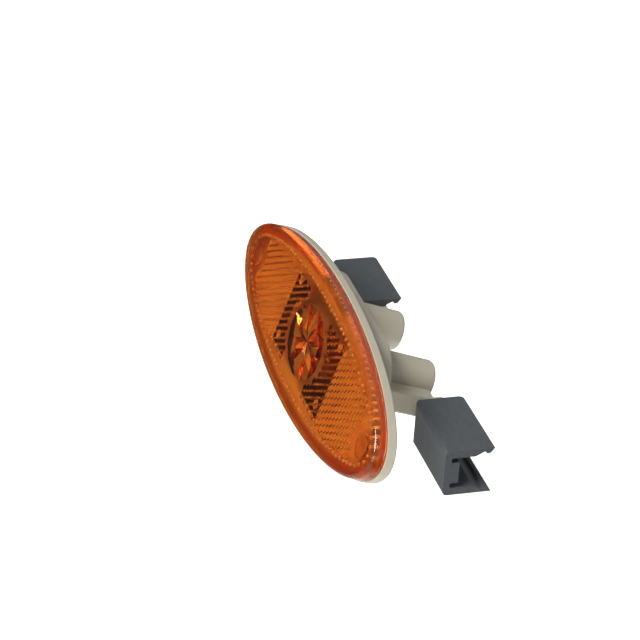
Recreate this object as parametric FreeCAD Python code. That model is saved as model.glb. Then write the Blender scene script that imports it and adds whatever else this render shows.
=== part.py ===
import FreeCAD, Part
import math
import os

# Side marker lamp with an amber reflex lens, an off-white housing and two sprung clips.
# Frame: +X runs along the lamp, the lens faces -Y and +Z is up.
# The origin is the centre of the panel plane, where the rim's rear face seats.

Vector = FreeCAD.Vector
BACKWARD = Vector(0, 1, 0)
ALONG = Vector(1, 0, 0)
UP = Vector(0, 0, 1)
SIDES = {"left": -1, "right": 1}

# How near two places are when they count as the same, and the digits that says
touching = 1e-4
touching_digits = 4

# Lens, in millimetres
lens_length = 120.0
lens_height = 35.5
lens_edge_height = 3.4
lens_crown = 0.6
lens_edge_radius = 1.2
lens_front_wall = 2.2
lens_skirt_wall = 2.0

# Reflex prism field inside the lens: hexagonal corner cubes, points towards the back
prism_pitch = 2.0
prism_field_length = 93.0
prism_field_height = 22.0
prism_edge_margin = 0.3

# Faceted centre window inside the lens
window_length = 25.0
window_height = 19.0
window_margin = 0.8
window_facet_depth = 1.5
window_low_share = 0.35
window_sectors = 14
window_rings = 3

# Round posts that weld the lens to the housing near its ends
post_spacing = 102.0
post_radius = 4.0
post_bore_radius = 2.7
post_margin = 0.5

# Housing rim, which seats on the panel
rim_thickness = 2.5
rim_overhang = 0.3
rim_edge_radius = 0.5
rim_floor = 1.0
locating_ridge_width = 1.5
locating_ridge_height = 0.8
lens_fit_clearance = 0.15
weld_pip_pitch = 3.45
weld_pip_radius = 0.6
weld_pip_tip_radius = 0.15
weld_pip_height = 0.3
weld_pip_sides = 6
weld_line_gap = 0.06

# Rear body, which passes through the panel's cut-out
body_centre_distance = 34.0
body_end_radius = 13.3
body_depth = 7.5
body_wall = 1.6
body_edge_radius = 1.2

# Round plug sockets
socket_spacing = 26.6
socket_rise = 2.95
socket_root_radius = 5.6
socket_end_radius = 5.35
socket_length = 16.8
socket_lip_radius = 1.0
socket_mouth_radius = 4.1
socket_mouth_depth = 6.0
socket_bore_radius = 3.6

# Arms with tongues, moulded on the rear body, that carry the clips
arm_outer_gap = 46.9
arm_width = 5.2
arm_height = 6.2
arm_edge_radius = 0.8
arm_end_chamfer = 3.6
clip_tilt = 19.0
tongue_root = 1.2
tongue_engagement = 8.0
tongue_depth = 4.6
tongue_rib_depth = 1.6
tongue_clearance = 0.15

# Clips: one C profile, drawn in its own depth and height and drawn out along X
clip_length = 25.0
clip_height = 12.5
clip_depth = 12.6
clip_inner_gap = 52.6
clip_web_setback = 18.5
clip_web_drop = 2.9
clip_corner_radius = 1.2
clip_web_thickness = 3.8
clip_arm_thickness = 2.0
clip_slot_width = 1.4
clip_slot_depth = 2.2
clip_neck_thickness = 0.9
clip_neck_depth = 0.3
clip_bevel_depth = 2.2
clip_lip_thickness = 1.45
clip_lip_length = 2.35
clip_lip_slant = 1.1
clip_lip_heel = 0.35
clip_end_radius = 1.3

# Circuit board and the pegs that hold it
board_length = 42.0
board_height = 22.0
board_thickness = 1.6
board_setback = 0.2
board_gap = 0.3
peg_radius = 1.2
peg_shoulder_radius = 2.2
peg_inset = 2.6
peg_proud = 0.5
peg_clearance = 0.1

# Parts on the board
led_length = 3.5
led_height = 2.8
led_thickness = 0.8
led_cup_radius = 1.15
led_cup_floor_radius = 0.75
led_cup_depth = 0.4
led_spacing_x = 8.0
led_spacing_z = 6.0
chip_length = 6.3
chip_height = 3.2
chip_thickness = 0.7
chip_cap_length = 0.8
chip_cap_step = 0.06
chip_rise = 7.6
diode_length = 4.3
diode_height = 2.6
diode_thickness = 2.1
diode_tab_length = 0.7
diode_tab_thickness = 0.3
capacitor_length = 3.2
capacitor_height = 2.5
capacitor_thickness = 1.8
protection_drop = 7.6
protection_spacing = 6.4

# Contact blades, one in each socket
blade_width = 4.8
blade_thickness = 0.8
blade_proud = 0.5
blade_recess = 1.0
blade_tip_chamfer = 0.6
blade_clearance = 0.1

# Places worked out from the sizes above
rim_front_y = -rim_thickness
lens_seat_y = rim_front_y - weld_line_gap
lens_front_y = lens_seat_y - lens_edge_height - lens_crown
lens_inside_y = lens_seat_y - lens_edge_height + lens_front_wall
rim_floor_y = -rim_floor
body_back_y = body_depth
body_floor_y = body_depth - body_wall
board_front_y = rim_floor_y + board_setback
board_back_y = board_front_y + board_thickness
socket_end_y = body_back_y + socket_length
clip_inner_x = clip_inner_gap / 2
arm_outer_x = arm_outer_gap / 2
cavity_half_height = clip_height / 2 - clip_arm_thickness
pad_half_height = cavity_half_height - clip_slot_width


def ellipse_prism(length, height, y_from, y_to):
    """Oval block with its long axis along X, between two planes."""
    centre = Vector(0, y_from, 0)
    curve = Part.Ellipse(Vector(length / 2, y_from, 0), Vector(0, y_from, height / 2), centre)
    return Part.Face(Part.Wire(curve.toShape())).extrude(BACKWARD * (y_to - y_from))


def stadium_prism(centre_distance, radius, y_from, y_to):
    """Block with straight long sides and half-round ends, between two planes."""
    half = centre_distance / 2
    lower_left = Vector(-half, y_from, -radius)
    lower_right = Vector(half, y_from, -radius)
    upper_right = Vector(half, y_from, radius)
    upper_left = Vector(-half, y_from, radius)
    edges = [
        Part.LineSegment(lower_left, lower_right).toShape(),
        Part.Arc(lower_right, Vector(half + radius, y_from, 0), upper_right).toShape(),
        Part.LineSegment(upper_right, upper_left).toShape(),
        Part.Arc(upper_left, Vector(-half - radius, y_from, 0), lower_left).toShape(),
    ]
    return Part.Face(Part.Wire(edges)).extrude(BACKWARD * (y_to - y_from))


def box_between(low, high):
    """Block from its lowest corner to its highest."""
    size = high - low
    return Part.makeBox(size.x, size.y, size.z, low)


def cylinder_back(radius, x, z, y_from, y_to):
    """Round bar along Y."""
    return Part.makeCylinder(radius, y_to - y_from, Vector(x, y_from, z), BACKWARD)


def lies_at(shape, y):
    """True for an edge or face that lies wholly in the plane at y."""
    box = shape.BoundBox
    return abs(box.YMin - y) < touching and abs(box.YMax - y) < touching


def edges_at(shape, y):
    return [edge for edge in shape.Edges if lies_at(edge, y)]


def inside_oval(x, z, length, height):
    return (2 * x / length) ** 2 + (2 * z / height) ** 2 <= 1.0


def hexagon_corner(centre, index):
    """Corner of a prism's hexagon: even corners stand at half height, odd ones at the base."""
    reach = prism_pitch / math.sqrt(3)
    turn = 2 * math.pi * index / 6
    return (centre[0] + reach * math.cos(turn), centre[1] + reach * math.sin(turn))


def prism_allowed(centre):
    """True where a whole prism fits between the lens edge, the window and the posts."""
    ridge_reach = lens_skirt_wall + lens_fit_clearance + locating_ridge_width
    edge_inset = 2 * (ridge_reach + prism_edge_margin)
    window_inset = 2 * window_margin
    for index in range(6):
        x, z = hexagon_corner(centre, index)
        if abs(x) > prism_field_length / 2 or abs(z) > prism_field_height / 2:
            return False
        if not inside_oval(x, z, lens_length - edge_inset, lens_height - edge_inset):
            return False
        if inside_oval(x, z, window_length + window_inset, window_height + window_inset):
            return False
    post_gap = math.hypot(abs(centre[0]) - post_spacing / 2, centre[1])
    return post_gap > post_radius + post_margin + prism_pitch


def prism_centres():
    """Centres of the corner cubes: columns along Z, with every other column half a pitch up."""
    column_step = prism_pitch * math.cos(math.radians(30))
    columns = int(prism_field_length / 2 / column_step)
    rows = int(prism_field_height / 2 / prism_pitch) + 1
    centres = []
    for column in range(-columns, columns + 1):
        offset = prism_pitch / 2 if column % 2 else 0.0
        for row in range(-rows, rows + 1):
            centre = (column * column_step, row * prism_pitch + offset)
            if prism_allowed(centre):
                centres.append(centre)
    return centres


def polygon_face(points):
    return Part.Face(Part.makePolygon(points + points[:1]))


def plan_key(point):
    """Plan point rounded for comparing, since neighbouring prisms work out the same corner."""
    return (round(point.x, touching_digits), round(point.z, touching_digits))


def reflex_prisms():
    """Corner cubes, three square faces to a prism, and the outline edges that only one prism has."""
    prism_height = 2 * prism_pitch / math.sqrt(6)
    faces = []
    outline = {}
    for centre in prism_centres():
        corners = []
        for index in range(6):
            x, z = hexagon_corner(centre, index)
            rise = 0.0 if index % 2 else prism_height / 2
            corners.append(Vector(x, lens_inside_y + rise, z))
        apex = Vector(centre[0], lens_inside_y + prism_height, centre[1])
        for index in (0, 2, 4):
            square = [apex, corners[index], corners[index + 1], corners[(index + 2) % 6]]
            faces.append(polygon_face(square))
        for index in range(6):
            start = corners[index]
            end = corners[(index + 1) % 6]
            shared = (plan_key(end), plan_key(start))
            if shared in outline:
                del outline[shared]
            else:
                outline[(plan_key(start), plan_key(end))] = (start, end)
    return faces, outline


def at_base(point):
    return Vector(point.x, lens_inside_y, point.z)


def field_walls(outline):
    """Upright triangles that close the field's edge down to the lens's flat inside."""
    walls = []
    for start, end in outline.values():
        raised = start if start.y > end.y else end
        walls.append(polygon_face([start, end, at_base(raised)]))
    return walls


def field_footprint(outline):
    """Flat faces that the prism field covers, with the field's own holes taken out."""
    following = {key[0]: (edge[0], key[1]) for key, edge in outline.items()}
    covers = []
    holes = []
    while following:
        first, (place, after) = following.popitem()
        loop = [at_base(place)]
        while after != first:
            place, after = following.pop(after)
            loop.append(at_base(place))
        turning = sum(a.x * b.z - b.x * a.z for a, b in zip(loop, loop[1:] + loop[:1]))
        if turning > 0:
            covers.append(polygon_face(loop))
        else:
            holes.append(polygon_face(loop))
    footprint = Part.makeCompound(covers)
    if holes:
        footprint = footprint.cut(Part.makeCompound(holes))
    return footprint


def window_point(ring, sector):
    """Corner of the centre window's cut: rings step outwards and every other corner is raised."""
    share = ring / window_rings
    turn = 2 * math.pi * (sector + ring / 2) / window_sectors
    raised = (ring + sector) % 2 == 0
    last = ring == window_rings
    depth = 0.0 if last else window_facet_depth * (1.0 if raised else window_low_share)
    x = window_length / 2 * share * math.cos(turn)
    z = window_height / 2 * share * math.sin(turn)
    return Vector(x, lens_inside_y + depth, z)


def window_facets():
    """Triangles of the jewel-cut window, from its centre point out to its flat edge."""
    centre = Vector(0, lens_inside_y + window_facet_depth, 0)
    faces = []
    for sector in range(window_sectors):
        faces.append(polygon_face([centre, window_point(1, sector), window_point(1, sector + 1)]))
        for ring in range(1, window_rings):
            inner = window_point(ring, sector)
            inner_next = window_point(ring, sector + 1)
            outer = window_point(ring + 1, sector)
            outer_before = window_point(ring + 1, sector - 1)
            faces.append(polygon_face([inner, outer_before, outer]))
            faces.append(polygon_face([inner, outer, inner_next]))
    edge = [window_point(window_rings, sector) for sector in range(window_sectors)]
    return faces, polygon_face(edge)


def lens_tray():
    """Crowned oval tray, before its inside is cut into prisms."""
    blank = ellipse_prism(lens_length, lens_height, lens_seat_y, lens_front_y - lens_crown)
    crown_radius = ((lens_length / 2) ** 2 + lens_crown ** 2) / (2 * lens_crown)
    crown_foot = Vector(0, lens_front_y + crown_radius, -lens_height)
    crown = Part.makeCylinder(crown_radius, 2 * lens_height, crown_foot, UP)
    outer = blank.common(crown)
    front_edges = [edge for edge in outer.Edges if edge.BoundBox.YMax < lens_seat_y - lens_edge_height / 2]
    outer = outer.makeFillet(lens_edge_radius, front_edges)
    inside_length = lens_length - 2 * lens_skirt_wall
    inside_height = lens_height - 2 * lens_skirt_wall
    hollow = ellipse_prism(inside_length, inside_height, lens_seat_y, lens_inside_y)
    return outer.cut(hollow)


def lens_post(side):
    """Round hollow post on the lens's inside, which reaches the housing's floor."""
    x = side * post_spacing / 2
    foot_y = rim_floor_y - weld_line_gap
    post = cylinder_back(post_radius, x, 0, lens_inside_y, foot_y)
    return post.cut(cylinder_back(post_bore_radius, x, 0, lens_inside_y, foot_y))


def make_lens():
    flat_inside = None
    skin = []
    for face in lens_tray().Faces:
        if lies_at(face, lens_inside_y):
            flat_inside = face
        else:
            skin.append(face)
    prisms, outline = reflex_prisms()
    facets, window_edge = window_facets()
    flat_inside = flat_inside.cut(field_footprint(outline)).cut(window_edge)
    shell = Part.makeShell(skin + flat_inside.Faces + prisms + field_walls(outline) + facets)
    shell.sewShape()
    lens = Part.makeSolid(shell)
    if lens.Volume < 0:
        lens.reverse()
    print("reflex prisms:", len(prisms) // 3)
    for side in SIDES.values():
        lens = lens.fuse(lens_post(side))
    return lens


def clip_point(x, depth, height):
    """Place in the tilted clip frame: depth from the clip's front face, height from its middle."""
    tilt = math.radians(clip_tilt)
    y = clip_web_setback + depth * math.cos(tilt) - height * math.sin(tilt)
    z = -clip_web_drop + depth * math.sin(tilt) + height * math.cos(tilt)
    return Vector(x, y, z)


def tilted_block(x_from, x_to, depth_from, depth_to, height_from, height_to):
    """Block that lies square in the tilted clip frame."""
    corners = [
        clip_point(x_from, depth_from, height_from),
        clip_point(x_from, depth_to, height_from),
        clip_point(x_from, depth_to, height_to),
        clip_point(x_from, depth_from, height_to),
    ]
    return polygon_face(corners).extrude(ALONG * (x_to - x_from))


def clip_half_outline(x, sign):
    """One arm of the clip, from the middle of its front face round to the middle of its pad."""
    half = clip_height / 2
    turn = clip_corner_radius * (1 - math.sqrt(0.5))
    slot_middle = cavity_half_height - clip_slot_width / 2
    slot_end = clip_web_thickness - clip_slot_depth
    slot_start = slot_end + clip_slot_width / 2
    neck_end = clip_depth - clip_lip_length
    neck_start = neck_end - clip_neck_depth
    bevel_start = neck_start - clip_bevel_depth
    lip_top = half - clip_lip_thickness
    neck_top = half - clip_neck_thickness

    def at(depth, height):
        return clip_point(x, depth, sign * height)

    def line(start, end):
        return Part.LineSegment(at(*start), at(*end)).toShape()

    def arc(start, middle, end):
        return Part.Arc(at(*start), at(*middle), at(*end)).toShape()

    corner_start = (0, half - clip_corner_radius)
    corner_end = (clip_corner_radius, half)
    tip = (clip_depth, half)
    lip_front = (clip_depth - clip_lip_slant, lip_top)
    lip_back = (neck_end + clip_lip_heel, lip_top)
    slot_top = (slot_start, cavity_half_height)
    slot_bottom = (slot_start, pad_half_height)
    pad_corner = (clip_web_thickness, pad_half_height)
    return [
        line((0, 0), corner_start),
        arc(corner_start, (turn, half - turn), corner_end),
        line(corner_end, tip),
        line(tip, lip_front),
        line(lip_front, lip_back),
        line(lip_back, (neck_end, neck_top)),
        line((neck_end, neck_top), (neck_start, neck_top)),
        line((neck_start, neck_top), (bevel_start, cavity_half_height)),
        line((bevel_start, cavity_half_height), slot_top),
        arc(slot_top, (slot_end, slot_middle), slot_bottom),
        line(slot_bottom, pad_corner),
        line(pad_corner, (clip_web_thickness, 0)),
    ]


def clip_plan(x_from):
    """Block over the clip's whole height, with the two corners of its first end rounded off."""
    turn = clip_end_radius * (1 - math.sqrt(0.5))
    foot = -clip_height / 2

    def at(along, depth):
        return clip_point(x_from + along, depth, foot)

    front = at(clip_end_radius, 0)
    front_side = at(0, clip_end_radius)
    back = at(clip_end_radius, clip_depth)
    back_side = at(0, clip_depth - clip_end_radius)
    far_front = at(clip_length, 0)
    far_back = at(clip_length, clip_depth)
    edges = [
        Part.LineSegment(front, far_front).toShape(),
        Part.LineSegment(far_front, far_back).toShape(),
        Part.LineSegment(far_back, back).toShape(),
        Part.Arc(back, at(turn, clip_depth - turn), back_side).toShape(),
        Part.LineSegment(back_side, front_side).toShape(),
        Part.Arc(front_side, at(turn, turn), front).toShape(),
    ]
    rise = clip_point(0, 0, clip_height) - clip_point(0, 0, 0)
    return Part.Face(Part.Wire(edges)).extrude(rise)


def make_clip(side):
    """Sprung clip: a C profile with relief slots at its arms' roots and a lip on each tip.

    Both clips are the same moulding, so the same end of each has its corners rounded off.
    """
    x_from = clip_inner_x if side > 0 else -clip_inner_x - clip_length
    edges = clip_half_outline(x_from, 1) + clip_half_outline(x_from, -1)
    outline = Part.Wire(Part.__sortEdges__(edges))
    return Part.Face(outline).extrude(ALONG * clip_length).common(clip_plan(x_from))


def tongue(side):
    """Tongue that enters the clip, with two ribs that slide in the clip's root slots."""
    reach = clip_inner_x + tongue_engagement
    inner = arm_outer_x - tongue_root
    face = clip_web_thickness + tongue_clearance
    half = cavity_half_height - tongue_clearance
    rib_half = pad_half_height + tongue_clearance
    x_from = inner if side > 0 else -reach
    x_to = reach if side > 0 else -inner
    block = tilted_block(x_from, x_to, face, face + tongue_depth, -half, half)
    for low, high in ((rib_half, half), (-half, -rib_half)):
        block = block.fuse(tilted_block(x_from, x_to, face - tongue_rib_depth, face, low, high))
    return block


def clip_arm(side):
    """Arm that stands on the rear body beside a socket and carries the clip's tongue."""
    tongue_end = clip_web_thickness + tongue_clearance + tongue_depth
    back_y = clip_point(0, tongue_end, 0).y
    x_from = arm_outer_x - arm_width if side > 0 else -arm_outer_x
    low = Vector(x_from, body_back_y, -arm_height / 2)
    arm = box_between(low, low + Vector(arm_width, back_y - body_back_y, arm_height))
    top_edge = [edge for edge in edges_at(arm, back_y) if edge.BoundBox.ZMin > 0]
    arm = arm.makeChamfer(arm_end_chamfer, top_edge)
    long_edges = []
    for edge in arm.Edges:
        direction = edge.tangentAt(edge.FirstParameter)
        if BACKWARD.getAngle(direction) < touching or (-BACKWARD).getAngle(direction) < touching:
            long_edges.append(edge)
    arm = arm.makeFillet(arm_edge_radius, long_edges).fuse(tongue(side))
    return arm.cut(socket_wall(side))


def socket_wall(side):
    """Outside of a plug socket: a slightly tapered round tube with a rounded end."""
    foot = Vector(side * socket_spacing / 2, body_floor_y, socket_rise)
    length = socket_end_y - body_floor_y
    wall = Part.makeCone(socket_root_radius, socket_end_radius, length, foot, BACKWARD)
    return wall.makeFillet(socket_lip_radius, edges_at(wall, socket_end_y))


def socket_hollow(side):
    """Bore of a plug socket with a wider mouth for the plug's collar."""
    x = side * socket_spacing / 2
    mouth_y = socket_end_y - socket_mouth_depth
    mouth = cylinder_back(socket_mouth_radius, x, socket_rise, mouth_y, socket_end_y)
    return mouth.fuse(cylinder_back(socket_bore_radius, x, socket_rise, body_back_y, socket_end_y))


def board_pegs():
    """Places of the four pegs that carry the circuit board."""
    x = board_length / 2 - peg_inset
    z = board_height / 2 - peg_inset
    return [(sx * x, sz * z) for sx in (-1, 1) for sz in (-1, 1)]


def weld_pip(place):
    """Small six-sided stub on the locating ridge, which melts when the lens is welded on."""
    outlines = []
    for radius, rise in ((weld_pip_radius, 0.0), (weld_pip_tip_radius, weld_pip_height)):
        points = []
        for index in range(weld_pip_sides):
            turn = 2 * math.pi * index / weld_pip_sides
            points.append(place + Vector(radius * math.cos(turn), -rise, radius * math.sin(turn)))
        outlines.append(Part.makePolygon(points + points[:1]))
    return Part.makeLoft(outlines, True, True)


def weld_pips(ridge_length, ridge_height, y):
    """Row of stubs along the middle of the locating ridge."""
    centre = Vector(0, y, 0)
    curve = Part.Ellipse(Vector(ridge_length / 2, y, 0), Vector(0, y, ridge_height / 2), centre).toShape()
    count = round(curve.Length / weld_pip_pitch)
    return [weld_pip(place) for place in curve.discretize(Number=count + 1)[:count]]


def make_housing():
    rim_length = lens_length + 2 * rim_overhang
    rim_height = lens_height + 2 * rim_overhang
    rim = ellipse_prism(rim_length, rim_height, rim_front_y, 0)
    rim = rim.makeFillet(rim_edge_radius, edges_at(rim, 0))
    body = stadium_prism(body_centre_distance, body_end_radius, rim_floor_y, body_back_y)
    body = body.makeFillet(body_edge_radius, edges_at(body, body_back_y))
    housing = rim.fuse(body)

    ridge_inset = 2 * (lens_skirt_wall + lens_fit_clearance)
    ridge_y = rim_front_y - locating_ridge_height
    ridge = ellipse_prism(lens_length - ridge_inset, lens_height - ridge_inset, ridge_y, rim_front_y)
    housing = housing.fuse(ridge)
    floor_inset = ridge_inset + 2 * locating_ridge_width
    housing = housing.cut(ellipse_prism(lens_length - floor_inset, lens_height - floor_inset,
                                        ridge_y, rim_floor_y))
    pip_inset = ridge_inset + locating_ridge_width
    housing = housing.fuse(weld_pips(lens_length - pip_inset, lens_height - pip_inset, ridge_y))
    pocket_corner = Vector(board_length / 2 + board_gap, body_floor_y, board_height / 2 + board_gap)
    housing = housing.cut(box_between(Vector(-pocket_corner.x, rim_floor_y, -pocket_corner.z), pocket_corner))
    for side in SIDES.values():
        housing = housing.fuse(socket_wall(side))
    for x, z in board_pegs():
        shoulder = cylinder_back(peg_shoulder_radius, x, z, board_back_y, body_floor_y)
        peg = cylinder_back(peg_radius, x, z, board_front_y - peg_proud, board_back_y)
        housing = housing.fuse([shoulder, peg])
    for side in SIDES.values():
        housing = housing.cut(socket_hollow(side))
        housing = housing.cut(blade_block(side, blade_clearance, body_floor_y, body_back_y))
    return housing


def blade_block(side, clearance, y_from, y_to):
    """Flat blade section with a clearance round it, between two planes."""
    x = side * socket_spacing / 2
    half_width = blade_width / 2 + clearance
    half_thickness = blade_thickness / 2 + clearance
    low = Vector(x - half_width, y_from, socket_rise - half_thickness)
    return box_between(low, Vector(x + half_width, y_to, socket_rise + half_thickness))


def make_contact_blade(side):
    """Flat terminal that is soldered in the board and stands in a socket, with a chamfered tip."""
    tip_y = socket_end_y - socket_mouth_depth - blade_recess
    blade = blade_block(side, 0.0, board_front_y - blade_proud, tip_y)
    tip_edges = [edge for edge in edges_at(blade, tip_y) if edge.Length < blade_width / 2]
    return blade.makeChamfer(blade_tip_chamfer, tip_edges)


def make_circuit_board():
    low = Vector(-board_length / 2, board_front_y, -board_height / 2)
    board = box_between(low, Vector(board_length / 2, board_back_y, board_height / 2))
    for x, z in board_pegs():
        board = board.cut(cylinder_back(peg_radius + peg_clearance, x, z, board_front_y, board_back_y))
    for side in SIDES.values():
        board = board.cut(blade_block(side, blade_clearance, board_front_y, board_back_y))
    return board


def behind_board(x, z, length, thickness, height):
    """Block that stands on the board's rear face."""
    low = Vector(x - length / 2, board_back_y, z - height / 2)
    return box_between(low, low + Vector(length, thickness, height))


def make_led(x, z):
    """Surface-mount light source with a conical cup in its front."""
    cup_foot = Vector(x, board_front_y - led_thickness, z)
    low = cup_foot - Vector(led_length / 2, 0, led_height / 2)
    body = box_between(low, low + Vector(led_length, led_thickness, led_height))
    return body.cut(Part.makeCone(led_cup_radius, led_cup_floor_radius, led_cup_depth, cup_foot, BACKWARD))


def make_resistor(x, z):
    """Chip resistor with a raised metal cap at each end."""
    chip = behind_board(x, z, chip_length, chip_thickness, chip_height)
    cap_shift = (chip_length - chip_cap_length) / 2
    for sign in (-1, 1):
        cap = behind_board(x + sign * cap_shift, z, chip_cap_length, chip_thickness + chip_cap_step,
                       chip_height + 2 * chip_cap_step)
        chip = chip.fuse(cap)
    return chip


def make_diode(x, z):
    """Moulded diode with a bent tab at each end."""
    body = behind_board(x, z, diode_length, diode_thickness, diode_height)
    tab_shift = (diode_length + diode_tab_length) / 2
    for sign in (-1, 1):
        tab = behind_board(x + sign * tab_shift, z, diode_tab_length, diode_tab_thickness, diode_height / 2)
        body = body.fuse(tab)
    return body


def make_capacitor(x, z):
    return behind_board(x, z, capacitor_length, capacitor_thickness, capacitor_height)


def make_parts():
    """Every piece of the lamp by its name."""
    parts = {"lens": make_lens(), "housing": make_housing(), "circuit_board": make_circuit_board()}
    for name, side in SIDES.items():
        parts["clip_" + name] = make_clip(side)
        parts["arm_" + name] = clip_arm(side)
        parts["contact_blade_" + name] = make_contact_blade(side)
    led_places = [(sx, sz) for sz in (1, -1) for sx in (-1, 1)]
    for number, (sx, sz) in enumerate(led_places, 1):
        parts["led_" + str(number)] = make_led(sx * led_spacing_x / 2, sz * led_spacing_z / 2)
    for number, sign in enumerate((-1, 1), 1):
        parts["resistor_" + str(number)] = make_resistor(sign * led_spacing_x / 2, chip_rise)
    parts["reverse_diode"] = make_diode(-protection_spacing, -protection_drop)
    parts["filter_capacitor"] = make_capacitor(0, -protection_drop)
    parts["surge_suppressor"] = make_diode(protection_spacing, -protection_drop)
    return parts


os.makedirs("parts", exist_ok=True)
for name, shape in make_parts().items():
    shape.exportStep("parts/" + name + ".step")
    print(name, "solids", len(shape.Solids), "valid", shape.isValid(), "volume", round(shape.Volume, 2))
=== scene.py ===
# %% [markdown]
# # A side marker lamp with a reflex lens
# The lamp is an amber oval lens on an off-white housing, and two dark clips behind it hold it in a panel.
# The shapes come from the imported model, which is loaded here as a fixed frame.
# This script gives every solid its finish and adds the weld beads, then sets the floor, light and camera.

# %% Load the frame
import math
import bmesh
import bpy
from mathutils import Matrix, Vector


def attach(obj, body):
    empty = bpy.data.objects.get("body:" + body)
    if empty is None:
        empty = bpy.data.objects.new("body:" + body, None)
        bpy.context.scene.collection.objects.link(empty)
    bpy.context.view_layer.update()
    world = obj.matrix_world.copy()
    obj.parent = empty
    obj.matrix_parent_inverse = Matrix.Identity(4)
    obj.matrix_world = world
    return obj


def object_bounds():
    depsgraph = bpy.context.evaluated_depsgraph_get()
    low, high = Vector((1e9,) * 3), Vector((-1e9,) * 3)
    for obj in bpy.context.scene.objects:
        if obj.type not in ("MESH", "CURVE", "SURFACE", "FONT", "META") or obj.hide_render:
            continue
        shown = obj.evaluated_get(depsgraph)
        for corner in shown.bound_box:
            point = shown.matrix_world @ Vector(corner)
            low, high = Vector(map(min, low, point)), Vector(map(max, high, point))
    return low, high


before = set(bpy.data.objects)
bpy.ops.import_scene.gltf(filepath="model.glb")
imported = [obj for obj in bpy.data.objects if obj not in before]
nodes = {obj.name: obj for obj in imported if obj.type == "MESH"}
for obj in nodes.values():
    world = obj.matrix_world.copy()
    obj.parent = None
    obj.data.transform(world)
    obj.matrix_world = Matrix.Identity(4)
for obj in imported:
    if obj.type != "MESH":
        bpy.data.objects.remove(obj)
cad_low, cad_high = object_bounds()
print("solids in the frame:", sorted(nodes))

# %% [markdown]
# Every finish below is a small graph of shader nodes.
# Colours are written as they look on a screen, and one function turns them into linear light.
# One more function adds a node: plain values go on its sockets, and another node's socket is linked to it.
# Patterns are sized in millimetres, so a third function gives the scale that a pattern of that size needs.
# The node that mixes colours has several sockets of one name, so its colour sockets go by their numbers.

# %% Helpers for colours, nodes and materials
MILLIMETRE = 0.001
FIRST_COLOUR = 6
SECOND_COLOUR = 7
MIXED_COLOUR = 2


def linear(hex_colour):
    channels = [int(hex_colour[place:place + 2], 16) / 255 for place in (1, 3, 5)]
    light = [c / 12.92 if c <= 0.04045 else ((c + 0.055) / 1.055) ** 2.4 for c in channels]
    return (*light, 1.0)


def add_node(tree, kind, inputs, **settings):
    made = tree.nodes.new(kind)
    for name, value in settings.items():
        setattr(made, name, value)
    for socket, value in inputs.items():
        if isinstance(value, bpy.types.NodeSocket):
            tree.links.new(value, made.inputs[socket])
        else:
            made.inputs[socket].default_value = value
    return made


def pattern_scale(size_mm):
    return 1 / (size_mm * MILLIMETRE)


def new_material(name):
    material = bpy.data.materials.new(name)
    material.use_nodes = True
    tree = material.node_tree
    tree.nodes.clear()
    place = add_node(tree, "ShaderNodeTexCoord", {}).outputs["Object"]
    return material, tree, place


def finish_material(tree, surface, volume=None):
    links = {"Surface": surface.outputs["BSDF"]}
    if volume:
        links["Volume"] = volume.outputs["Volume"]
    add_node(tree, "ShaderNodeOutputMaterial", links)


def dress(material, *names):
    for name in names:
        mesh = nodes[name].data
        mesh.materials.clear()
        mesh.materials.append(material)
    print(material.name, "on", ", ".join(names))


# %% [markdown]
# The lens and what lies under it are ovals, and several finishes change from the middle to the edge.
# So one function measures how far out a place lies: 0 in the middle of the lamp and 1 on the oval itself.
# It shrinks the oval to a circle of radius 1 and takes the distance from its centre.

# %% Helper for the ovals
def reach_on_oval(tree, place, half_length_mm, half_height_mm):
    to_circle = (pattern_scale(half_length_mm), 0.0, pattern_scale(half_height_mm))
    plan = add_node(tree, "ShaderNodeVectorMath", {0: place, 1: to_circle}, operation="MULTIPLY")
    reach = add_node(tree, "ShaderNodeVectorMath", {0: plan.outputs["Vector"]}, operation="LENGTH")
    return reach.outputs["Value"]


# %% [markdown]
# The lens is acrylic, tinted right through and moulded in one shot.
# The eye sees a clear, glossy skin, and behind it a colour that deepens with the way through the plastic.
# An opaque orange plastic would be quicker, but the prisms and the board behind would not show through it.
# A transmitting surface with a little tint and an absorbing volume gives that: thick parts come out redder.
# Handling leaves the gloss a little uneven, and moulding leaves a slight waviness, which a soft bump gives.

# %% Amber lens: gloss and waviness
HANDLING_MARK_MM = 2.5
SINK_WAVE_MM = 9
SINK_WAVE_DEPTH = 0.2 * MILLIMETRE

lens_amber, tree, place = new_material("acrylic_amber_injection_moulded")
handling = add_node(
    tree, "ShaderNodeTexNoise",
    {"Vector": place, "Scale": pattern_scale(HANDLING_MARK_MM), "Detail": 5.0},
)
gloss = add_node(
    tree, "ShaderNodeMapRange",
    {"Value": handling.outputs["Fac"], "From Min": 0.35, "From Max": 0.75, "To Min": 0.04, "To Max": 0.09},
)
sink_wave = add_node(
    tree, "ShaderNodeTexNoise",
    {"Vector": place, "Scale": pattern_scale(SINK_WAVE_MM), "Detail": 2.0},
)
wave_bump = add_node(
    tree, "ShaderNodeBump",
    {"Height": sink_wave.outputs["Fac"], "Strength": 0.05, "Distance": SINK_WAVE_DEPTH},
)
print("gloss and waves for", lens_amber.name)

# %% [markdown]
# The back of the front wall is cut into cube-corner prisms, and those are real facets of the solid.
# The flat land round them and the inside of the skirt are spark-eroded in the tool, so they are frosted.
# A second material on those faces would also do, but a mask in the one material needs no faces to be picked.
# The land is found by its depth, and the skirt by lying near the edge, behind the land and not outside.

# %% Amber lens: where it is frosted
RIDGE_HALF_LENGTH_MM = 57.1
RIDGE_HALF_HEIGHT_MM = 14.85
SKIRT_HALF_LENGTH_MM = 59
SKIRT_HALF_HEIGHT_MM = 16.8
EDGE_START = 0.94
LAND_DEPTH = -3.76 * MILLIMETRE
LAND_PLAY = 0.02 * MILLIMETRE

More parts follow.
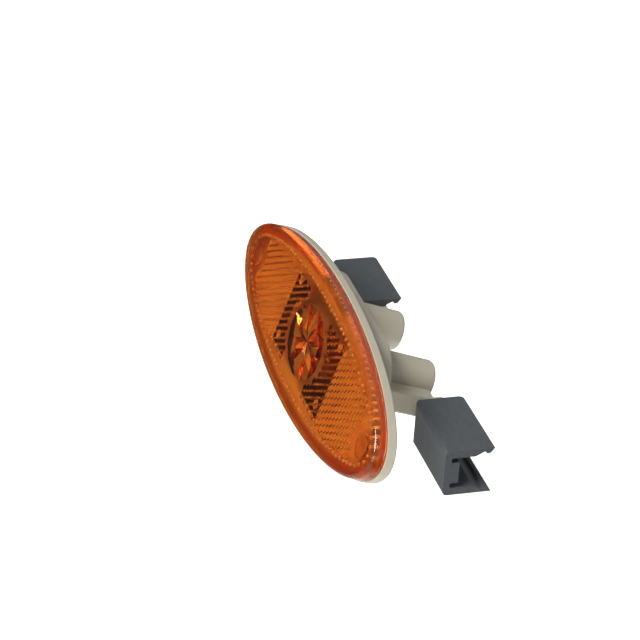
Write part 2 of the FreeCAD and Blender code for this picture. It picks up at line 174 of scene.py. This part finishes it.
depth = add_node(tree, "ShaderNodeSeparateXYZ", {"Vector": place}).outputs["Y"]
on_land = add_node(tree, "ShaderNodeMath", {0: depth, 1: LAND_DEPTH, 2: LAND_PLAY}, operation="COMPARE")
behind = add_node(tree, "ShaderNodeMath", {0: depth, 1: LAND_DEPTH - LAND_PLAY}, operation="GREATER_THAN")
ridge_reach = reach_on_oval(tree, place, RIDGE_HALF_LENGTH_MM, RIDGE_HALF_HEIGHT_MM)
at_edge = add_node(tree, "ShaderNodeMath", {0: ridge_reach, 1: EDGE_START}, operation="GREATER_THAN")
skirt_reach = reach_on_oval(tree, place, SKIRT_HALF_LENGTH_MM, SKIRT_HALF_HEIGHT_MM)
not_outside = add_node(tree, "ShaderNodeMath", {0: skirt_reach, 1: 1.0}, operation="LESS_THAN")
edge_back = add_node(
    tree, "ShaderNodeMath",
    {0: at_edge.outputs["Value"], 1: behind.outputs["Value"]}, operation="MULTIPLY",
)
skirt_inside = add_node(
    tree, "ShaderNodeMath",
    {0: edge_back.outputs["Value"], 1: not_outside.outputs["Value"]}, operation="MULTIPLY",
)
frosted = add_node(
    tree, "ShaderNodeMath",
    {0: on_land.outputs["Value"], 1: skirt_inside.outputs["Value"]}, operation="MAXIMUM",
)
print("frosted land at", LAND_DEPTH, "m")

# %% [markdown]
# The two tints share the work: the skin takes a little blue away where light passes it,
# and the volume takes more for each millimetre of plastic, which leaves orange and then red.

# %% Amber lens: skin and tint
texture = add_node(
    tree, "ShaderNodeMapRange",
    {"Value": frosted.outputs["Value"], "To Min": gloss.outputs["Result"], "To Max": 0.45},
)
skin = add_node(
    tree, "ShaderNodeBsdfPrincipled",
    {
        "Base Color": linear("#FFD080"),
        "Transmission Weight": 1.0,
        "IOR": 1.49,
        "Roughness": texture.outputs["Result"],
        "Normal": wave_bump.outputs["Normal"],
    },
)
tint = add_node(tree, "ShaderNodeVolumeAbsorption", {"Color": linear("#FFA01C"), "Density": 95.0})
finish_material(tree, skin, tint)
dress(lens_amber, "lens")

# %% [markdown]
# The housing is natural polyamide: an off-white, slightly waxy plastic that lets a little light in.
# The colour drifts a little towards beige, as undyed polyamide does where it has taken up moisture.
# The face behind the lens is painted near white, a painted light that stands in for the light coming through
# the lens onto it.
# A strip under the lens edge is painted orange, a painted glow for the amber light that leaks from the lens
# into the housing.
# Both could be painted face by face, but here they are found by their place:
# within the skirt's oval and in front of the rear body.

# %% Off-white housing: colours
DRIFT_MM = 14
PAINTED_LIGHT_DEPTH = -0.5 * MILLIMETRE
LENS_GLOW_START = 0.88
LENS_GLOW_FULL = 0.91

housing_white, tree, place = new_material("polyamide_natural_injection_moulded")
drift = add_node(
    tree, "ShaderNodeTexNoise",
    {"Vector": place, "Scale": pattern_scale(DRIFT_MM), "Detail": 3.0},
)
beige = add_node(
    tree, "ShaderNodeMix",
    {"Factor": drift.outputs["Fac"], FIRST_COLOUR: linear("#BBB5A6"), SECOND_COLOUR: linear("#AEA792")},
    data_type="RGBA",
)
reach = reach_on_oval(tree, place, SKIRT_HALF_LENGTH_MM, SKIRT_HALF_HEIGHT_MM)
under_lens = add_node(tree, "ShaderNodeMath", {0: reach, 1: 1.0}, operation="LESS_THAN")
depth = add_node(tree, "ShaderNodeSeparateXYZ", {"Vector": place}).outputs["Y"]
# Painted light: in front of the rear body and under the lens the housing is made near white, standing in for
# light through the lens.
before_body = add_node(tree, "ShaderNodeMath", {0: depth, 1: PAINTED_LIGHT_DEPTH}, operation="LESS_THAN")
painted_light_face = add_node(
    tree, "ShaderNodeMath",
    {0: before_body.outputs["Value"], 1: under_lens.outputs["Value"]}, operation="MULTIPLY",
).outputs["Value"]
# Painted light: an orange strip near the lens edge stands in for amber light leaking from the lens.
lens_glow_strip = add_node(
    tree, "ShaderNodeMapRange", {"Value": reach, "From Min": LENS_GLOW_START, "From Max": LENS_GLOW_FULL},
)
painted_lens_glow = add_node(
    tree, "ShaderNodeMath", {0: lens_glow_strip.outputs["Result"], 1: painted_light_face}, operation="MULTIPLY",
)
# Painted light: the near-white colour of the lit face behind the lens.
painted_lit_white = add_node(
    tree, "ShaderNodeMix",
    {"Factor": painted_light_face, FIRST_COLOUR: beige.outputs[MIXED_COLOUR], SECOND_COLOUR: linear("#F4F2EC")},
    data_type="RGBA",
).outputs[MIXED_COLOUR]
shade = add_node(
    tree, "ShaderNodeMix",
    {"Factor": painted_lens_glow.outputs["Value"], FIRST_COLOUR: painted_lit_white, SECOND_COLOUR: linear("#C65A1A")},
    data_type="RGBA",
)
print("colours for", housing_white.name)

# %% [markdown]
# The housing's tool surface is finely spark-eroded, so its gloss is broken up at tenths of a millimetre.
# Real dents of that size would need millions of faces, so a fine bump stands for them.
# The waxy depth comes from light that scatters a little way under the skin.

# %% Off-white housing: surface
ERODED_MM = 0.35
ERODED_DEPTH = 0.05 * MILLIMETRE
WAXY_DEPTH = 1.2 * MILLIMETRE

eroded = add_node(
    tree, "ShaderNodeTexNoise",
    {"Vector": place, "Scale": pattern_scale(ERODED_MM), "Detail": 2.0},
)
eroded_bump = add_node(
    tree, "ShaderNodeBump",
    {"Height": eroded.outputs["Fac"], "Strength": 0.25, "Distance": ERODED_DEPTH},
)
sheen = add_node(
    tree, "ShaderNodeMapRange", {"Value": drift.outputs["Fac"], "To Min": 0.38, "To Max": 0.55},
)
waxy = add_node(
    tree, "ShaderNodeBsdfPrincipled",
    {
        "Base Color": shade.outputs[MIXED_COLOUR],
        "Roughness": sheen.outputs["Result"],
        "Subsurface Weight": 0.25,
        "Subsurface Radius": (1.0, 0.8, 0.55),
        "Subsurface Scale": WAXY_DEPTH,
        "Normal": eroded_bump.outputs["Normal"],
    },
)
finish_material(tree, waxy)
dress(housing_white, *(name for name in nodes if name.startswith(("housing", "arm"))))

# %% [markdown]
# The lens is welded on: a row of small stubs on the housing's ridge melts against the inside of the lens.
# Each one sinks into the lens as a bead, and the beads shine through it as a row of bright points.
# The melt is squeezed inwards, so the beads lie at even steps just inside the ridge's oval.
# Many short steps round the oval find the places, since equal angles would crowd them at the ends.

# %% Places of the weld beads
BEAD_COUNT = 105
WELD_LINE = -3.7 * MILLIMETRE
SQUEEZED_IN_MM = 1.3
BEAD_ROW_HALF_LENGTH = (RIDGE_HALF_LENGTH_MM - SQUEEZED_IN_MM) * MILLIMETRE
BEAD_ROW_HALF_HEIGHT = (RIDGE_HALF_HEIGHT_MM - SQUEEZED_IN_MM) * MILLIMETRE
WALK_STEPS = 4000


def row_point(share):
    turn = 2 * math.pi * share
    along = BEAD_ROW_HALF_LENGTH * math.cos(turn)
    up = BEAD_ROW_HALF_HEIGHT * math.sin(turn)
    return Vector((along, WELD_LINE, up))


def even_places(count):
    walk = [row_point(step / WALK_STEPS) for step in range(WALK_STEPS)]
    gaps = [(walk[step] - walk[step - 1]).length for step in range(WALK_STEPS)]
    spacing = sum(gaps) / count
    places = [walk[0]]
    covered = 0.0
    for point, gap in zip(walk[1:], gaps[1:]):
        covered += gap
        if covered >= spacing:
            covered -= spacing
            places.append(point)
    return places[:count]


bead_places = even_places(BEAD_COUNT)
print("weld beads:", len(bead_places))

# %% [markdown]
# A bead of melt is round across the weld and drawn out into the lens.
# So each one is a small ball stretched along the depth. An array along a curve could set them out too,
# but a loop over the places keeps them apart and makes one piece of them all.

# %% Weld beads
BEAD_RADIUS = 0.5 * MILLIMETRE
BEAD_HEIGHT = 1.0 * MILLIMETRE
BEAD_SIDES = 10
BEAD_RINGS = 6

shape = bmesh.new()
drawn_out = Matrix.Diagonal((BEAD_RADIUS, BEAD_HEIGHT, BEAD_RADIUS, 1.0))
for point in bead_places:
    bmesh.ops.create_uvsphere(
        shape, u_segments=BEAD_SIDES, v_segments=BEAD_RINGS, radius=1.0,
        matrix=Matrix.Translation(point) @ drawn_out,
    )
bead_mesh = bpy.data.meshes.new("weld_beads")
shape.to_mesh(bead_mesh)
shape.free()
bead_mesh.shade_smooth()
beads = bpy.data.objects.new("weld_beads", bead_mesh)
bpy.context.scene.collection.objects.link(beads)
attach(beads, "root")
print("faces of the weld beads:", len(bead_mesh.polygons))

# %% [markdown]
# Melted polyamide sets smoother and glossier than the moulded face.
# The eye sees a cream-coloured blob with a faint mottle, where a little of the amber has mixed in.

# %% Finish of the weld beads
MOTTLE_MM = 0.6

beads_cream, tree, place = new_material("polyamide_natural_melted")
mottle = add_node(
    tree, "ShaderNodeTexNoise",
    {"Vector": place, "Scale": pattern_scale(MOTTLE_MM), "Detail": 2.0},
)
cream = add_node(
    tree, "ShaderNodeMix",
    {"Factor": mottle.outputs["Fac"], FIRST_COLOUR: linear("#FBE0AC"), SECOND_COLOUR: linear("#F0C988")},
    data_type="RGBA",
)
melted = add_node(
    tree, "ShaderNodeBsdfPrincipled", {"Base Color": cream.outputs[MIXED_COLOUR], "Roughness": 0.3},
)
finish_material(tree, melted)
bead_mesh.materials.append(beads_cream)
print(beads_cream.name, "on weld_beads")

# %% [markdown]
# The clips are glass-filled polyamide, dark grey and nearly matt.
# The glass shows as faint pale flow streaks along the clip, where the melt ran into the tool.
# Streaks could be painted on, but a noise stretched along the clip gives them on every face without a seam.

# %% Dark grey clips
STREAK_MM = 0.8
STREAK_DEPTH = 0.05 * MILLIMETRE
DRAWN_ALONG_CLIP = (0.25, 1.0, 1.0)

clip_grey, tree, place = new_material("polyamide_glass_filled_dark_grey")
stretched = add_node(tree, "ShaderNodeMapping", {"Vector": place, "Scale": DRAWN_ALONG_CLIP})
flow = add_node(
    tree, "ShaderNodeTexNoise",
    {"Vector": stretched.outputs["Vector"], "Scale": pattern_scale(STREAK_MM), "Detail": 4.0},
)
streaks = add_node(
    tree, "ShaderNodeMix",
    {"Factor": flow.outputs["Fac"], FIRST_COLOUR: linear("#3D4246"), SECOND_COLOUR: linear("#515457")},
    data_type="RGBA",
)
fibre_bump = add_node(
    tree, "ShaderNodeBump",
    {"Height": flow.outputs["Fac"], "Strength": 0.2, "Distance": STREAK_DEPTH},
)
matt = add_node(
    tree, "ShaderNodeBsdfPrincipled",
    {
        "Base Color": streaks.outputs[MIXED_COLOUR],
        "Roughness": 0.48,
        "Normal": fibre_bump.outputs["Normal"],
    },
)
finish_material(tree, matt)
dress(clip_grey, "clip_left", "clip_right")

# %% [markdown]
# The board is glass-epoxy laminate under a black solder resist, and shows through the prisms as a dark field.
# Its copper tracks lie under the resist and make a slightly paler net.
# They are seen only through the prisms, so a brick pattern draws them and no tracks are modelled.
# Round the light sources an oval is printed pale, to throw their light forward through the cut window.

# %% Circuit board
TRACK_NET_MM = 10
PRINT_HALF_LENGTH_MM = 12.5
PRINT_HALF_HEIGHT_MM = 9.5
QUARTER_TURN = math.pi / 2

board_black, tree, place = new_material("glass_epoxy_black_solder_resist")
upright = add_node(tree, "ShaderNodeMapping", {"Vector": place, "Rotation": (QUARTER_TURN, 0.0, 0.0)})
tracks = add_node(
    tree, "ShaderNodeTexBrick",
    {
        "Vector": upright.outputs["Vector"],
        "Color1": linear("#0A0B09"),
        "Color2": linear("#0D0F0B"),
        "Mortar": linear("#171C14"),
        "Scale": pattern_scale(TRACK_NET_MM),
        "Mortar Size": 0.03,
    },
).outputs["Color"]
reach = reach_on_oval(tree, place, PRINT_HALF_LENGTH_MM, PRINT_HALF_HEIGHT_MM)
on_print = add_node(tree, "ShaderNodeMath", {0: reach, 1: 1.0}, operation="LESS_THAN")
printed = add_node(
    tree, "ShaderNodeMix",
    {"Factor": on_print.outputs["Value"], FIRST_COLOUR: tracks, SECOND_COLOUR: linear("#A3A39C")},
    data_type="RGBA",
)
resist = add_node(
    tree, "ShaderNodeBsdfPrincipled", {"Base Color": printed.outputs[MIXED_COLOUR], "Roughness": 0.35},
)
finish_material(tree, resist)
dress(board_black, "circuit_board")

# %% [markdown]
# The parts on the board each have their own finish: a pale ceramic package for the light sources,
# black glazed chips for the resistors, a tan ceramic block for the capacitor, moulded epoxy for the diodes.
# The contact blades are tinned brass, which looks like dull silver.
# All of them differ only in two tones, in grain and in gloss, so one function makes them all.

# %% Parts on the board and the contact blades
def grained_material(name, dark, pale, grain_mm, roughness, metallic=0.0):
    material, tree, place = new_material(name)
    grain = add_node(
        tree, "ShaderNodeTexNoise",
        {"Vector": place, "Scale": pattern_scale(grain_mm), "Detail": 3.0},
    )
    tone = add_node(
        tree, "ShaderNodeMix",
        {"Factor": grain.outputs["Fac"], FIRST_COLOUR: linear(dark), SECOND_COLOUR: linear(pale)},
        data_type="RGBA",
    )
    body = add_node(
        tree, "ShaderNodeBsdfPrincipled",
        {"Base Color": tone.outputs[MIXED_COLOUR], "Roughness": roughness, "Metallic": metallic},
    )
    finish_material(tree, body)
    return material


ceramic_pale = grained_material(
    "alumina_ceramic_with_phosphor", "#E8D9A0", "#F6EED2", grain_mm=0.6, roughness=0.4,
)
chip_black = grained_material("glazed_chip_black", "#151515", "#242424", grain_mm=0.3, roughness=0.3)
ceramic_tan = grained_material("ceramic_capacitor_tan", "#A08560", "#B89C74", grain_mm=0.3, roughness=0.45)
epoxy_black = grained_material("epoxy_moulded_black", "#1A1A1C", "#2A2A2C", grain_mm=0.4, roughness=0.5)
brass_tinned = grained_material(
    "brass_tin_plated", "#B9B6AC", "#D8D5CC", grain_mm=0.5, roughness=0.3, metallic=1.0,
)
dress(ceramic_pale, *(name for name in nodes if name.startswith("led")))
dress(chip_black, "resistor_1", "resistor_2")
dress(ceramic_tan, "filter_capacitor")
dress(epoxy_black, "reverse_diode", "surge_suppressor")
dress(brass_tinned, "contact_blade_left", "contact_blade_right")

# %% [markdown]
# The lamp hangs over a plain pale floor that glows a little, as a light table does.
# A curved backdrop would do as well, but a large flat sheet is simpler and its edge stays out of the picture.
# The floor is kept out of reflections and out of the view through the lens, which would both turn milky.

# %% Floor
FLOOR_DROP = 60 * MILLIMETRE
FLOOR_HALF_SIDE = 3.0

floor_height = cad_low[2] - FLOOR_DROP
corner_signs = ((-1, -1), (1, -1), (1, 1), (-1, 1))
corners = [(x * FLOOR_HALF_SIDE, y * FLOOR_HALF_SIDE, floor_height) for x, y in corner_signs]
floor_mesh = bpy.data.meshes.new("floor")
floor_mesh.from_pydata(corners, [], [range(len(corners))])
floor = bpy.data.objects.new("floor", floor_mesh)
bpy.context.scene.collection.objects.link(floor)
paper, tree, place = new_material("paper_white_backdrop")
glowing = add_node(
    tree, "ShaderNodeBsdfPrincipled",
    {
        "Base Color": linear("#FAFAFA"),
        "Roughness": 0.9,
        "Emission Color": linear("#FFFFFF"),
        "Emission Strength": 0.65,
    },
)
finish_material(tree, glowing)
floor_mesh.materials.append(paper)
floor.visible_glossy = False
floor.visible_transmission = False
print("floor at", round(floor_height, 4), "m")

# %% [markdown]
# Soft light comes from all round, and more of it from below, where the floor is.
# Two black flags, one beyond each end, keep a white glare off the lens and shade the ends of the clips.
# Real black cards would stand in the way of other views, so the flags are dark patches of the surroundings.
# They are found by how well a direction points along the flags' line.

# %% Soft surroundings
FLAG_LINE = Vector((-0.92, -0.38, 0.05)).normalized()

world = bpy.data.worlds.new("soft_studio")
bpy.context.scene.world = world
world.use_nodes = True
sky = world.node_tree
sky.nodes.clear()
direction = add_node(sky, "ShaderNodeTexCoord", {}).outputs["Generated"]
height = add_node(sky, "ShaderNodeSeparateXYZ", {"Vector": direction}).outputs["Z"]
walls = add_node(
    sky, "ShaderNodeMapRange",
    {"Value": height, "From Min": -0.25, "From Max": -0.5, "To Min": 0.36, "To Max": 0.8},
)
along_flags = add_node(sky, "ShaderNodeVectorMath", {0: direction, 1: FLAG_LINE}, operation="DOT_PRODUCT")
either_end = add_node(sky, "ShaderNodeMath", {0: along_flags.outputs["Value"]}, operation="ABSOLUTE")
unflagged = add_node(
    sky, "ShaderNodeMapRange",
    {"Value": either_end.outputs["Value"], "From Min": 0.55, "From Max": 0.8, "To Min": 1.0, "To Max": 0.06},
)
strength = add_node(
    sky, "ShaderNodeMath",
    {0: walls.outputs["Result"], 1: unflagged.outputs["Result"]}, operation="MULTIPLY",
)
glow = add_node(
    sky, "ShaderNodeBackground", {"Color": linear("#FFFFFF"), "Strength": strength.outputs["Value"]},
)
add_node(sky, "ShaderNodeOutputWorld", {"Surface": glow.outputs["Background"]})
print("surroundings:", world.name)

# %% [markdown]
# Three square lamps make the shape read: the key in front of the lens and above it,
# a weak one behind for the sockets, and a low one in front that reaches the face of the near clip.

# %% Lamps
def soft_light(name, location, power, side):
    lamp = bpy.data.lights.new(name, "AREA")
    lamp.energy = power
    lamp.size = side
    light = bpy.data.objects.new(name, lamp)
    light.location = location
    light.rotation_mode = "QUATERNION"
    light.rotation_quaternion = (-Vector(location)).to_track_quat("-Z", "Y")
    bpy.context.scene.collection.objects.link(light)
    print(name, power, "W")


soft_light("key_above_lens", location=(0.25, -0.95, 0.6), power=17.5, side=0.6)
soft_light("fill_behind", location=(0.9, 0.7, 0.5), power=0.9, side=0.6)
soft_light("low_front", location=(0.7, -0.85, 0.0), power=2.5, side=0.5)

# %% [markdown]
# The camera stands where the photograph was taken from: beyond one end of the lamp, above and in front of it.
# The picture is turned so that the lamp lies across it.
# Its place and its focal length were worked out from the lamp's outline, which is surer than setting by eye.

# %% Camera
CAMERA_PLACE = Vector((0.4874, -0.2366, 0.2218))
SENSOR_WIDTH_MM = 36.0
FOCAL_LENGTH_MM = 127.4

picture_right = Vector((0.264, 0.892, 0.366)).normalized()
towards_eye = Vector((0.839, -0.400, 0.370))
towards_eye = (towards_eye - towards_eye.dot(picture_right) * picture_right).normalized()
picture_up = towards_eye.cross(picture_right)
camera_data = bpy.data.cameras.new("camera")
camera_data.sensor_width = SENSOR_WIDTH_MM
camera_data.lens = FOCAL_LENGTH_MM
camera = bpy.data.objects.new("camera", camera_data)
turn = Matrix((picture_right, picture_up, towards_eye)).transposed().to_4x4()
camera.matrix_world = Matrix.Translation(CAMERA_PLACE) @ turn
bpy.context.scene.collection.objects.link(camera)
bpy.context.scene.camera = camera
bpy.context.scene.view_settings.view_transform = "Standard"
print("camera at", tuple(CAMERA_PLACE))
